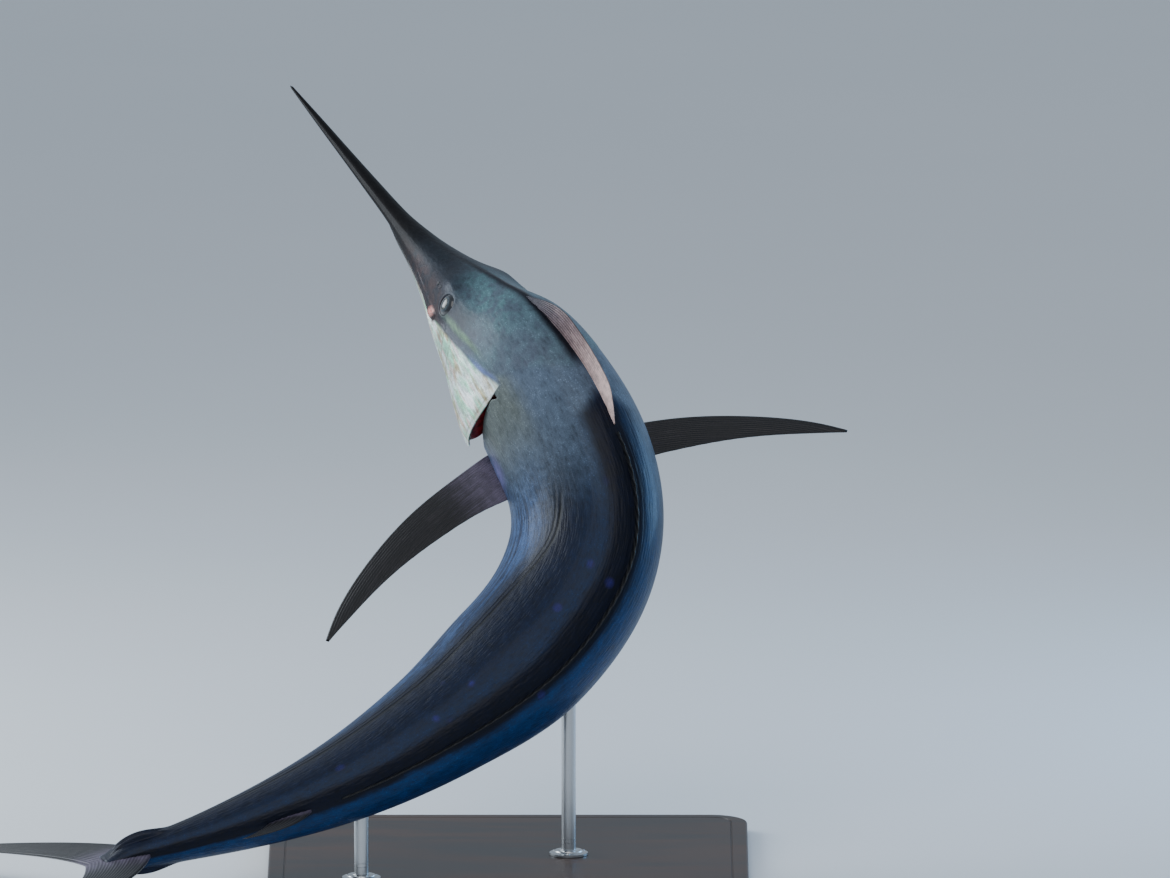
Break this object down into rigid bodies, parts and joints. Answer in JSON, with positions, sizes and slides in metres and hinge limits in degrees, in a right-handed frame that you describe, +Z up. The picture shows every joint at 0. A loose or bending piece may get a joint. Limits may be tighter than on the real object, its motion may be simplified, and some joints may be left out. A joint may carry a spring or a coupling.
{
  "type": "blue marlin display model",
  "caption": "Life-size still model of a leaping blue marlin, body bent in a C, with bill, folded dorsal lobe, long pectoral fins and crescent tail, held on rods over a flat base.",
  "frame": {"origin": "centre of the underside of the stand's base", "axes": "+Z up, the fish's back turned to -Y, its right pectoral fin towards +X, its bill away towards +Y"},
  "size_m": [1.922, 2.0908, 1.4747],
  "materials": {
    "bill": "wet dark brown, near black",
    "skin_head": "wet skin, dark teal grey above, silvery green below",
    "skin_body": "wet skin, dark slate blue back, silver flank and belly, fine lengthwise streaks",
    "gill_cover": "wet silvery green with a pale rim",
    "gills": "wet dark red",
    "eye": "clear gloss over a dark pupil",
    "dorsal_lobe": "pinkish brown fin membrane over rays",
    "fins": "wet brown black fin membrane over rays",
    "stand_board": "dark satin stained board",
    "stand_steel": "brushed"
  },
  "bodies": {
    "root": {"bill": "bill", "head": "skin_head", "lower_jaw": "skin_head", "eye_left": "eye", "eye_right": "eye", "gill_cover_left": "gill_cover", "gill_cover_right": "gill_cover", "gills_left": "gills", "gills_right": "gills", "shoulder": "skin_body", "trunk_front": "skin_body", "trunk_rear": "skin_body", "trunk_aft": "skin_body", "tail_stock": "skin_body", "dorsal_fin_front": "dorsal_lobe", "dorsal_fin_rear": "fins", "second_dorsal_fin": "fins", "pectoral_fin_left": "fins", "pectoral_fin_right": "fins", "pelvic_fin_left": "fins", "pelvic_fin_right": "fins", "anal_fin_first": "fins", "anal_fin_second": "fins", "tail_fin_upper": "fins", "tail_fin_lower": "fins", "stand_base": "stand_board", "stand_rod_front": "stand_steel", "stand_rod_rear": "stand_steel", "stand_collar_front": "stand_steel", "stand_collar_rear": "stand_steel"}
  },
  "joints": []
}
